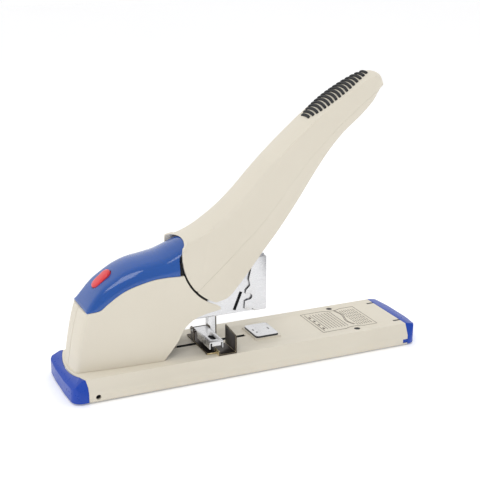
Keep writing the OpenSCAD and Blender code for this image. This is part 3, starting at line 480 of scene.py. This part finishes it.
def handleSeam(t):
    start = handle["seamFrom"]
    if t <= start:
        return onHub(mix(handle["arcFrom"], handle["seamAt"], t / start))
    return splineAt(handle["seam"], (t - start) / (1 - start))


def handleLow(t):
    start, end = handle["seamFrom"], handle["lowFrom"]
    if t <= end:
        return onHub(mix(handle["seamAt"] + 1, handle["arcTo"], clamp((t - start) / (end - start))))
    return splineAt(handle["low"], (t - end) / (1 - end))


def fromHub(p, y):
    return (hub.x + p[0], y, hub.z + p[1])


def unit(v):
    return v / max(v.length, 0.1)


# rise of the top's middle line over its creases
def crownAt(t):
    return min(handle["crown"], 0.35 * (handleSeam(t) - handleTop(t)).length)


def upperRow(t, wall, steps=10):
    top, seam = handleTop(t), handleSeam(t)
    inward, rise = unit(seam - top), crownAt(t)
    crease = smoothAt(handle["creaseHalf"], t) - wall
    wide = smoothAt(handle["seamHalf"], t) - wall
    side = []
    for k in range(steps + 1):
        f = k / steps
        side.append((seam.lerp(top + inward * (wall + rise), f), mix(wide, crease, 1 - math.cos(f * math.pi / 2))))
    edge, edgeY = side[-1]
    crown = [fromHub(edge - inward * rise * (1 - k * k / 49), edgeY * k / 7) for k in range(-6, 7)]
    return [fromHub(p, -y) for p, y in side] + crown + [fromHub(p, y) for p, y in reversed(side)]


def underRow(t, wall, steps=8):
    seam, low = handleSeam(t), handleLow(t)
    down = unit(low - seam)
    wide = smoothAt(handle["seamHalf"], t) - wall
    narrow = smoothAt(handle["lowHalf"], t) - wall
    side = [((seam + down * 0.12).lerp(low, k / steps), mix(wide, narrow, k / steps)) for k in range(steps + 1)]
    belly = [fromHub(low + down * (0.6 * (1 - k * k) - wall * 0.9), narrow * k * 0.9) for k in (0.8, 0.3, -0.3, -0.8)]
    return [fromHub(p, y) for p, y in side] + belly + [fromHub(p, -y) for p, y in reversed(side)]


rows = [k / handle["stations"] for k in range(handle["stations"] + 1)]
upperShell = shellLoft("handleUpperShell", [upperRow(t, 0) for t in rows],
                       [upperRow(t, handle["wall"]) for t in rows], finishes["cream_plastic"])
standFor(soften(upperShell, 0.35, 60), "handle_upper_shell")

lowerStart = handle["seamFrom"] + 0.002
rows = [mix(lowerStart, 1, k / handle["stations"]) for k in range(handle["stations"] + 1)]
openRows = sum(t < handle["openUntil"] for t in rows)
lowerShell = shellLoft("handleLowerShell", [underRow(t, 0) for t in rows],
                       [underRow(t, handle["wall"]) for t in rows], finishes["cream_plastic"], openRows, (8, 13))
standFor(soften(lowerShell, 0.35, 60), "handle_lower_shell")

grip = {"from": 0.535, "to": 0.815, "ribs": 17, "ribLong": 2.35, "ribHigh": 1.9, "halfWide": 13.7, "narrowing": 0.2,
        "lift": 0.25}
gripLine = []
for k in range(61):
    t = mix(grip["from"], grip["to"], k / 60)
    p = handleTop(t)
    gripLine.append(fromHub(p + unit(p - handleSeam(t)) * grip["lift"], 0))
middle = mix(grip["from"], grip["to"], 0.5)
sagTo = unit(handleSeam(middle) - handleTop(middle)) * crownAt(middle) / smoothAt(handle["creaseHalf"], middle) ** 2
gripPad = fromPoints("handleGrip", gripLine, [], finishes["black_rubber"], [(k, k + 1) for k in range(60)])
runTree(gripPad, ribTree, {"Count": grip["ribs"], "Rib length": grip["ribLong"] * mm,
                           "Rib height": grip["ribHigh"] * mm, "Half width": grip["halfWide"] * mm,
                           "Narrowing": grip["narrowing"], "Sag": (sagTo.x / mm, 0, sagTo.y / mm),
                           "Material": finishes["black_rubber"]})
standFor(gripPad, "handle_grip")
print("handle made")


# ---- body shells and the clear cover ----

body = {
    "cols": 72, "rows": 36, "wall": 2.0, "recess": 44, "tipHeight": 34, "tip": 12.5, "rearRound": 5,
    "rear": [(-128.2, 0), (-124.2, 22.5), (-121, 36.6), (-118, 46)],
    "arch": [(-58.8, 0), (-48, 13.1), (-42, 23.4), (-34, 29.8), (-23, 33), (-12.5, 34)],
    "coverLow": [(-117, 45.6), (-111, 46), (-106, 47), (-100, 51.5), (-90, 58.2), (-80, 62.2), (-66, 65.4),
                 (-55, 66), (-43, 65.5)],
    "coverTop": [(-117, 46), (-112.3, 52.5), (-104.1, 61.7), (-96, 67.7), (-86.4, 73.5), (-76, 77.4),
                 (-64, 79.6), (-54.2, 81.6), (-43.6, 85.5), (-35, 88.9)],
    "screws": [(-96, 12), (-72, 26)],
}


def bodyHalf(d):
    t = clamp((d + 128) / 90)
    return 16.6 + 5.2 * (1 - (1 - t) ** 2)


def bodyY(d, rear, wall):
    k = clamp(1 - (d - rear) / body["rearRound"])
    return (bodyHalf(d) - wall) * (1 - k ** 3) ** (1 / 3)


def bodyFront(h):
    if h <= body["tipHeight"]:
        return smoothAt(swapped(body["arch"]), h)
    return -max(body["tip"], math.sqrt(max(body["recess"] ** 2 - min(h - 79.6, 0) ** 2, 0)))


def coverEdge(along, front):
    return smoothAt(body["coverLow"], mix(body["rear"][-1][0], front, along))


def bodyPoint(u, v, wall, side):
    along = u ** 1.7
    h = coverEdge(along, bodyFront(coverEdge(along, -43))) * v
    rear = smoothAt(swapped(body["rear"]), h)
    d = mix(rear, bodyFront(h), along)
    back = wall * clamp(1 - (d - rear) / 8)
    return (hub.x + d + back, side * max(bodyY(d + back, rear + back, wall), 0.15), baseTop + h)


def bodyShell(name, side):
    us = [i / body["cols"] for i in range(body["cols"] + 1)]
    vs = [j / body["rows"] for j in range(body["rows"] + 1)]
    return shellLoft(name, [[bodyPoint(u, v, 0, side) for v in vs] for u in us],
                     [[bodyPoint(u, v, body["wall"], side) for v in vs] for u in us], finishes["cream_plastic"])


standFor(soften(bodyShell("bodyShellRight", -1), 0.35, 60), "body_shell_right")
leftShell = bodyShell("bodyShellLeft", 1)
cut(leftShell, *[cylinder("screwSeat", (hub.x + x, bodyHalf(x) - 1, baseTop + z), (hub.x + x, 30, baseTop + z), 3.2)
                 for x, z in body["screws"]])
standFor(soften(leftShell, 0.35, 60), "body_shell_left")

cover = {"stations": 80, "steps": 16, "crown": (0.2, 3), "wall": 2.0, "ribsAt": (0.386, 0.843), "ribLong": 0.018,
         "ribDeep": 3.2}


# rise of the cover's middle line over its creases
def coverCrown(s):
    return mix(*cover["crown"], s ** 0.7)


def coverPoint(s, q, wall):
    d = mix(-116.6, mix(-44.8, -35.6, q ** 6), s)
    low = smoothAt(body["coverLow"], d) + 0.25
    top = max(smoothAt(body["coverTop"], d) - coverCrown(s), low + 0.3)
    crease = 14 + 1.1 * s ** 3
    a, full = math.radians(q * 68), math.radians(68)
    f = math.sin(a) / math.sin(full)
    g = (math.cos(a) - math.cos(full)) / (1 - math.cos(full))
    y = mix(crease, bodyHalf(d) - 0.3, g) - wall * mix(0.7, 1, g)
    return Vector((hub.x + d + wall * 0.2 * (1 - s), y, baseTop + mix(low, top - wall, f)))


def coverRow(s, wall):
    n = cover["steps"]
    side = [coverPoint(s, j / n, wall) for j in range(n + 1)]
    edge = side[n]
    crown = [(edge.x, edge.y * k / 7, edge.z + coverCrown(s) * (1 - k * k / 49)) for k in range(-6, 7)]
    return [(p.x, -p.y, p.z) for p in side] + crown + [tuple(p) for p in reversed(side)]


# ring of the button's oval, grown and lifted along the button's own axis
def buttonRing(grow, height, steps=14):
    tilt = math.radians(button["tilt"])
    radius = button["wide"] / 2 + grow
    ring = []
    for end in (1, -1):
        for k in range(steps + 1):
            a = math.pi * (k / steps - 0.5)
            ring.append((end * ((button["long"] - button["wide"]) / 2 + radius * math.cos(a)),
                         end * radius * math.sin(a)))
    return [button["place"] + Vector((x * math.cos(tilt) - height * math.sin(tilt), y,
                                      x * math.sin(tilt) + height * math.cos(tilt))) for x, y in ring]


rows = [k / cover["stations"] for k in range(cover["stations"] + 1)]
topCover = shellLoft("topCover", [coverRow(s, 0) for s in rows], [coverRow(s, cover["wall"]) for s in rows],
                     finishes["clear_blue_plastic"])
cut(topCover, ringStack("buttonHole", [buttonRing(0.35, -9), buttonRing(0.35, 9)], None))
standFor(soften(topCover, 0.3, 60), "top_cover")
for number, s in enumerate(cover["ribsAt"]):
    deep = cover["wall"] + cover["ribDeep"]
    rib = shellLoft("coverRib" + str(number + 1), [coverRow(s + k, cover["wall"]) for k in (0, cover["ribLong"])],
                    [coverRow(s + k, deep) for k in (0, cover["ribLong"])], finishes["blue_plastic"])
    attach(rib, "root")
keyProfile = [(-0.1, -3), (-0.1, 1.2), (-0.2, 1.6), (-0.5, 1.95), (-1.0, 2.2), (-2.2, 2.4), (-4, 2.5)]
releaseButton = ringStack("releaseButton", [buttonRing(*level) for level in keyProfile], finishes["red_plastic"])
standFor(releaseButton, "release_button")
print("body and cover made")


# ---- CAD pieces with softened edges ----

softEdges = {
    "base_plate": 0.2, "bottom_cover": 0.4,
    "rubber_feet": 0.4, "anvil_rivets": 0.2, "body_screws": 0.3, "frame_plate_right": 0.15,
    "frame_plate_left": 0.15, "frame_bolts": 0.3, "frame_nuts": 0.3, "frame_tie": 0.2, "button_bridge": 0.15,
    "hub_axle": 0.4, "axle_circlips": 0.1, "head_pivot_pin": 0.3, "handle_core_right": 0.2,
    "handle_core_left": 0.2, "handle_tie_bolts": 0.2, "crank_pin": 0.2, "drive_link": 0.25,
    "head_plate_right": 0.18, "head_plate_left": 0.18, "head_spacers": 0.15, "latch_pin": 0.2,
    "driver_blade": 0.12, "driver_carrier": 0.2, "magazine_rail": 0.2,
    "staple_pusher": 0.15, "magazine_latch": 0.2, "guide_key": 0.15, "lever_pin": 0.15,
}
for node, width in softEdges.items():
    standFor(soften(cleaned(node), width), node)

# rounds the top edges that run along the base, then the rest a little
baseEdge = {"round": 2.2, "small": 0.5}
for node in ("base_shell", "rear_cap", "front_cap"):
    piece = cleaned(node)
    low, high = boxOf(node)
    shape = bmesh.new()
    shape.from_mesh(piece.data)
    shape.edges.ensure_lookup_table()
    longEdges = []
    for edge in shape.edges:
        a, b = (v.co / mm for v in edge.verts)
        outside = min(abs(a.y), abs(b.y)) > high.y - 0.4
        if outside and abs(a.z - baseTop) < 0.1 and abs(b.z - baseTop) < 0.1 and abs(a.x - b.x) > 1:
            longEdges.append(edge)
    print(node, "long edges:", len(longEdges))
    bmesh.ops.bevel(shape, geom=longEdges, offset=baseEdge["round"] * mm, segments=6, profile=0.5, affect="EDGES")
    shape.to_mesh(piece.data)
    shape.free()
    piece.data.shade_smooth()
    if node == "front_cap":
        # the cap's tongues in the base's notches are painted black: painted shade of the notches
        piece.data.materials.append(finishes["black_plastic"])
        for face in piece.data.polygons:
            if face.center.x / mm < low.x + 5.5 and abs(face.center.y / mm) < high.y - 4:
                face.material_index = 1
    standFor(soften(piece, baseEdge["small"]), node)

anvil = cleaned("anvil", corner=2.4)
# the anvil's upright sides take painted shade, a dark band along its edges
anvil.data.materials.append(paintedShadeEdge)
for face in anvil.data.polygons:
    face.material_index = int(abs(face.normal.z) < 0.5)
standFor(soften(anvil, 0.2), "anvil")
standFor(soften(cleaned("guide_lever"), 0.25), "guide_lever")

# faces in a box, in mm, take the piece's other material
def repaint(piece, low, high, index):
    for face in piece.data.polygons:
        if all(a <= c / mm <= b for a, c, b in zip(low, face.center, high)):
            face.material_index = index


bracket = cleaned("guide_bracket")
low, high = boxOf("guide_bracket")
bracket.data.materials.append(paintedHighlightEdge)
bracket.data.materials.append(finishes["nickel_steel"])
# the bracket's near rear corner takes the bright edge colour, a painted highlight
repaint(bracket, (low.x - 1, low.y - 1, low.z - 1), (low.x + 12, -20, high.z), 1)
repaint(bracket, (high.x - 2, 9.5, low.z - 1), (high.x + 1, high.y + 1, high.z + 1), 2)
# its softened edges carry the same painted highlight
standFor(soften(bracket, 0.42, segments=1, edgeMaterial=1), "guide_bracket")
nose = cleaned("magazine_nose")
nose.data.materials.append(paintedShadeEdge)
low, high = boxOf("magazine_nose")
# rim faces of the nose's cheek take painted shade, so the gap around the cheek reads dark
for face in nose.data.polygons:
    inCheek = face.center.x / mm < high.x - 1.5 and abs(face.normal.y) < 0.5
    if inCheek and abs(face.center.y / mm) > high.y - 1.2:
        face.material_index = 1
standFor(soften(nose, 0.22), "magazine_nose")
# black sheet of painted shade between the head's plate and the magazine, seen through the slanted slot
low, high = boxOf("head_plate_right")
magazineTop = boxOf("magazine_rail")[1].z
slotShade = boxPiece("slotLiner", (hub.x - 10, high.y + 0.1, low.z + 2.2), (hub.x + 11, high.y + 0.25, low.z + 20),
                 finishes["black_plastic"])
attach(slotShade, "head")


chart = {"rear": 65.7, "front": 115.7, "half": 20.6, "inset": 2.6, "line": 0.34, "sink": 0.14, "ink": 0.08,
         "holeX": 95, "holeY": 24, "clear": 5.4}


# thin black pieces of painted shade that close the view into the gaps
def shadeBox(name, low, high, body):
    piece = boxPiece(name, low, high, finishes["black_plastic"])
    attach(piece, body)
    return piece


hubShade = {"inner": 39, "outer": 49, "from": 187, "to": 240, "far": 16.9, "near": 17.3}
rim = []
for k in range(25):
    a = math.radians(mix(hubShade["from"], hubShade["to"], k / 24))
    rim.append((math.cos(a), math.sin(a)))
arcOutline = [(hub.x + c * hubShade["inner"], hub.z + s * hubShade["inner"]) for c, s in rim]
arcOutline += [(hub.x + c * hubShade["outer"], hub.z + s * hubShade["outer"]) for c, s in reversed(rim)]
for side, name in ((-1, "hubShadeNear"), (1, "hubShadeFar")):
    shade = ringStack(name, [[(x, side * hubShade["far"], z) for x, z in arcOutline],
                             [(x, side * hubShade["near"], z) for x, z in arcOutline]], finishes["black_plastic"])
    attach(shade, "root")
lever = {"low": boxOf("guide_lever")[0], "high": boxOf("guide_lever")[1], "sheet": 0.8, "sideDown": 6.0}
low, high = lever["low"], lever["high"]
middleX = (low.x + high.x) / 2
shadeBox("leverShade", (middleX - 3.4, low.y + 3.5, high.z - 1.9), (middleX + 3.4, low.y + 19, high.z - 1.4),
         "guide_clamp")
for x, name in ((low.x, "leverSideRear"), (high.x - lever["sheet"], "leverSideFront")):
    side = boxPiece(name, (x, low.y + 0.5, high.z - lever["sideDown"]), (x + lever["sheet"], -1.0, high.z - 0.9),
                    finishes["nickel_steel"])
    soften(side, 0.2)
    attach(side, "guide_clamp")
deskHole = {"radius": 2.5, "top": 0.3, "bottom": 1.2}
for side, name in ((-1, "screwShadeNear"), (1, "screwShadeFar")):
    x, y = chart["holeX"], side * chart["holeY"]
    plug = cylinder(name, (x, y, baseTop - deskHole["bottom"]), (x, y, baseTop - deskHole["top"]),
                    deskHole["radius"], finishes["black_plastic"])
    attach(plug, "root")
tab = {"y": 21.5, "half": 1.05, "long": 5.9, "top": 0.1, "bottom": 0.58}
tabStart = boxOf("front_cap")[0].x
for side, name in ((-1, "tabShadeNear"), (1, "tabShadeFar")):
    shadeBox(name, (tabStart, side * tab["y"] - tab["half"], baseTop - tab["bottom"]),
             (tabStart + tab["long"], side * tab["y"] + tab["half"], baseTop - tab["top"]), "root")
shadeBox("slideShade", (hub.x - 40, 1.85, baseTop - 2.1), (hub.x + 17.4, 1.98, baseTop - 0.02), "root")
print("steel and base made")


# ---- springs and staples ----

def wirePiece(name, points, radius, sides, material, loose=()):
    edges = [(k, k + 1) for k in range(len(points) - 1) if k not in loose]
    piece = fromPoints(name, points, [], material, edges)
    return runTree(piece, wireTree, {"Radius": radius * mm, "Sides": sides, "Material": material})


spring = {"turns": 5, "radius": 6.6, "wire": 1.1, "half": 8.4}
pitch = 2 * spring["half"] / (spring["turns"] + 0.25)
coil = [(hub.x + 30, -spring["half"], hub.z + spring["radius"] + 12),
        (hub.x + 12, -spring["half"], hub.z + spring["radius"] + 3)]
for k in range(spring["turns"] * 24 + 7):
    a = math.radians(60 + 15 * k)
    coil.append((hub.x + spring["radius"] * math.cos(a), -spring["half"] + pitch * k / 24,
                 hub.z + spring["radius"] * math.sin(a)))
coil += [(hub.x - 20, spring["half"], hub.z - 4), (hub.x - 38, spring["half"], hub.z - 8)]
standFor(wirePiece("returnSpring", coil, spring["wire"], 12, finishes["dark_steel"]), "return_spring")

low, high = boxOf("pusher_spring")
turns, coilR = 14, (high.z - low.z) / 2 - 0.45
middle = (low + high) / 2
coil = []
for k in range(turns * 16 + 1):
    a = math.radians(22.5 * k)
    coil.append((mix(low.x + 0.5, high.x - 0.5, k / (turns * 16)), coilR * math.cos(a), middle.z + coilR * math.sin(a)))
standFor(wirePiece("pusherSpring", coil, 0.45, 8, finishes["dark_steel"]), "pusher_spring")

tilt = math.radians(button["tilt"])
coil = []
for k in range(5 * 16 + 1):
    a, lift = math.radians(22.5 * k), -7.0 + 3.5 * k / 80
    x = 3.5 * math.cos(a)
    coil.append(button["place"] + Vector((x * math.cos(tilt) - lift * math.sin(tilt), 3.5 * math.sin(a),
                                          x * math.sin(tilt) + lift * math.cos(tilt))))
standFor(wirePiece("buttonSpring", coil, 0.33, 8, finishes["bright_steel"]), "button_spring")

staple = {"wire": 0.7, "gap": 0.02}
low, high = boxOf("staple_strip")
half, wireT = high.y, staple["wire"]
outline = [(-half, low.z), (-half, high.z - 0.5), (-half + 0.5, high.z), (half - 0.5, high.z), (half, high.z - 0.5),
           (half, low.z), (half - wireT, low.z), (half - wireT, high.z - wireT), (-half + wireT, high.z - wireT),
           (-half + wireT, low.z)]
one = ringStack("stapleStrip", [[(high.x - wireT + staple["gap"], y, z) for y, z in outline],
                                [(high.x, y, z) for y, z in outline]], finishes["bright_steel"])
runTree(one, rowTree, {"Count": int((high.x - low.x) / wireT), "Step": (-wireT * mm, 0, 0),
                       "Material": finishes["bright_steel"]})
standFor(one, "staple_strip")
print("springs and staples made")


# ---- printed chart and small dark marks ----

def bentEdge(side):
    reach = chart["half"] - (chart["holeY"] - chart["clear"])
    points = [(chart["rear"], side * chart["half"])]
    for k in range(-8, 9):
        x = chart["holeX"] + k
        points.append((x, side * (chart["half"] - reach * math.cos(k / 8 * math.pi / 2) ** 0.8)))
    return points + [(chart["front"], side * chart["half"])]


def inkLines(name, lines):
    points, edges = [], []
    for line in lines:
        edges += [(len(points) + k, len(points) + k + 1) for k in range(len(line) - 1)]
        points += [(x, y, baseTop - chart["sink"]) for x, y in line]
    piece = fromPoints(name, points, [], chartInk, edges)
    runTree(piece, wireTree, {"Radius": chart["line"] * mm, "Sides": 8, "Material": chartInk})
    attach(piece, "root")


def inkRows(name, start, size, steps, counts):
    low = (start[0], start[1], baseTop - 0.05)
    piece = boxPiece(name, low, (start[0] + size[0], start[1] + size[1], baseTop + chart["ink"]), chartInk)
    for step, count in zip(steps, counts):
        runTree(piece, rowTree, {"Count": count, "Step": [c * mm for c in (*step, 0)], "Material": chartInk})
    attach(piece, "root")


inner = chart["rear"] + chart["inset"]
outline = bentEdge(-1) + bentEdge(1)[::-1]
divider = [(96 + 1.5 * math.sin(y / 4.5) + 0.004 * y * y, y) for y in range(-15, 19)]
inkLines("chartFrame", [outline + outline[:1], [(inner, -18), (inner, 18)], divider,
                        [(x + 1.1, y) for x, y in divider]])
inkRows("chartFigures", (72.2, -15.2), (0.7, 1.5), [(0, 2.5), (2.7, 0)], [13, 8])
inkRows("chartLabels", (69.4, -14.5), (1.5, 3.2), [(0, 8.2)], [4])
inkRows("chartNotes", (100, -17), (0.5, 4.4), [(0, 5.7), (2.1, 0)], [6, 7])
top = boxOf("anvil")[1].z
# dark marks on the anvil's top: painted shade of its clinch grooves
for number, (x, y, long, wide) in enumerate([(13.2, 1.3, 1.2, 2.2), (14.3, -3.9, 1.4, 1.6), (26, 0.2, 1.0, 3.4)]):
    mark = boxPiece("anvilMark" + str(number + 1), (x - long / 2, y - wide / 2, top - 0.1),
                    (x + long / 2, y + wide / 2, top + 0.05), paintedShadeEdge)
    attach(mark, "root")
print("chart printed")


# ---- stage, light and camera ----

stage = {"floor": 6.0, "key": 7.5, "fill": 2.0, "world": 1.0, "behindCamera": "#B4B5B8"}
floorMaterial = surface("paleFloor", {
    "tone": "#FCFCFC", "shade": "#F8F8F8", "cloud": 900, "grain": 3, "depth": 0.01, "rough": (0.6, 0.7),
    "shader": {"Emission Color": (1, 1, 1, 1), "Emission Strength": 0.2}})
half = stage["floor"] / mm / 2
floor = fromPoints("floor", [(-half, -half, 0), (half, -half, 0), (half, half, 0), (-half, half, 0)],
                   [(0, 1, 2, 3)], floorMaterial)
floor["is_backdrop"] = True

world = bpy.data.worlds.new("softStudio")
scene.world = world
world.use_nodes = True
sky = world.node_tree
sky.nodes.clear()
direction = addNode(sky, "ShaderNodeTexCoord").outputs["Generated"]
frontal = addNode(sky, "ShaderNodeSeparateXYZ", {0: direction}).outputs["Y"]
bright = addNode(sky, "ShaderNodeMapRange", {"Value": frontal, "From Min": -0.6, "From Max": 0.2},
                 interpolation_type="SMOOTHSTEP").outputs["Result"]
tint = addNode(sky, "ShaderNodeMix", {"Factor": bright, 6: colour(stage["behindCamera"]), 7: (1, 1, 1, 1)},
               data_type="RGBA").outputs[2]
glow = addNode(sky, "ShaderNodeBackground", {"Color": tint, "Strength": stage["world"]}).outputs[0]
addNode(sky, "ShaderNodeOutputWorld", {"Surface": glow})


def softbox(name, place, target, size, power):
    light = bpy.data.lights.new(name, "AREA")
    light.shape = "RECTANGLE"
    light.size, light.size_y = size
    light.energy = power
    lamp = bpy.data.objects.new(name, light)
    scene.collection.objects.link(lamp)
    lamp.location = place
    lamp.rotation_euler = (Vector(target) - Vector(place)).to_track_quat("-Z", "Y").to_euler()
    return lamp


softbox("keyLight", (-0.5, -0.9, 1.3), (0, 0, 0.1), (0.9, 0.7), stage["key"])
softbox("fillLight", (1.2, -0.5, 0.8), (0, 0, 0.1), (0.8, 0.8), stage["fill"])

view = {"place": (-0.3253, -0.7323, 0.3522), "down": 17.56, "turn": -24.03, "lens": 81.1}
cameraData = bpy.data.cameras.new("camera")
cameraData.lens = view["lens"]
cameraData.sensor_width = 36
camera = bpy.data.objects.new("camera", cameraData)
scene.collection.objects.link(camera)
camera.location = view["place"]
camera.rotation_euler = (math.radians(90 - view["down"]), 0, math.radians(view["turn"]))
scene.camera = camera
scene.view_settings.view_transform = "Standard"

low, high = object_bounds()
print("scene ready")
